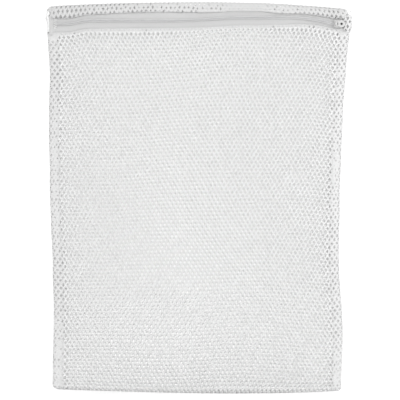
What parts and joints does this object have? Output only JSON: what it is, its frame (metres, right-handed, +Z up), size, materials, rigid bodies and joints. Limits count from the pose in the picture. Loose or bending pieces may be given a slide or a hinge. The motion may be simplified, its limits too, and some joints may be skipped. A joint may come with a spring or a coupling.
{
  "type": "mesh laundry bag",
  "caption": "Flat rectangular mesh laundry bag with a coil zip across the top of its front face, a sliding zip slider with a short swinging pull, and side seams turned inside.",
  "frame": {"origin": "on the floor under the middle of the bag, halfway through its depth", "axes": "X along the zip towards the slider's closed end, +Y out of the back of the bag, +Z up from the bottom fold to the top fold"},
  "size_m": [0.3116, 0.0204, 0.4],
  "materials": {
    "net": "matte",
    "tape": "matte",
    "thread": "matte",
    "coil": "satin",
    "slider": "gloss",
    "steel": "satin"
  },
  "bodies": {
    "bag": {"front_mesh_panel": "net", "back_mesh_panel": "net", "left_seam_overlock": "thread", "right_seam_overlock": "thread", "upper_zipper_tape": "tape", "upper_zipper_coil": "coil", "upper_filler_cord": "thread", "upper_coil_stitching": "thread", "upper_tape_stitching": "thread", "left_bar_tack": "thread", "right_bar_tack": "thread"},
    "lip": {"lower_zipper_tape": "tape", "lower_zipper_coil": "coil", "lower_filler_cord": "thread", "lower_coil_stitching": "thread", "lower_tape_stitching": "thread"},
    "slider": {"slider_body": "slider", "locking_pin": "steel"},
    "pull": {"slider_pull": "slider"}
  },
  "joints": [
    {"name": "zip_travel", "type": "slide", "parent": "bag", "child": "slider", "axis": [-1, 0, 0], "range_m": [0, 0.282], "deforming": ["upper_zipper_coil", "lower_zipper_coil", "upper_filler_cord", "lower_filler_cord"]},
    {"name": "mouth_open", "type": "slide", "parent": "bag", "child": "lip", "axis": [0, -0.8, -0.6], "range_m": [0, 0.04], "deforming": ["lower_zipper_tape", "lower_coil_stitching", "lower_tape_stitching"]},
    {"name": "pull_swing", "type": "hinge", "parent": "slider", "child": "pull", "pos_m": [0.1412, 0.00108, 0.378], "axis": [0, 0, -1], "range_deg": [0, 175]}
  ],
  "couplings": [
    {"joint": "mouth_open", "follows": "zip_travel", "ratio": 0.14}
  ]
}
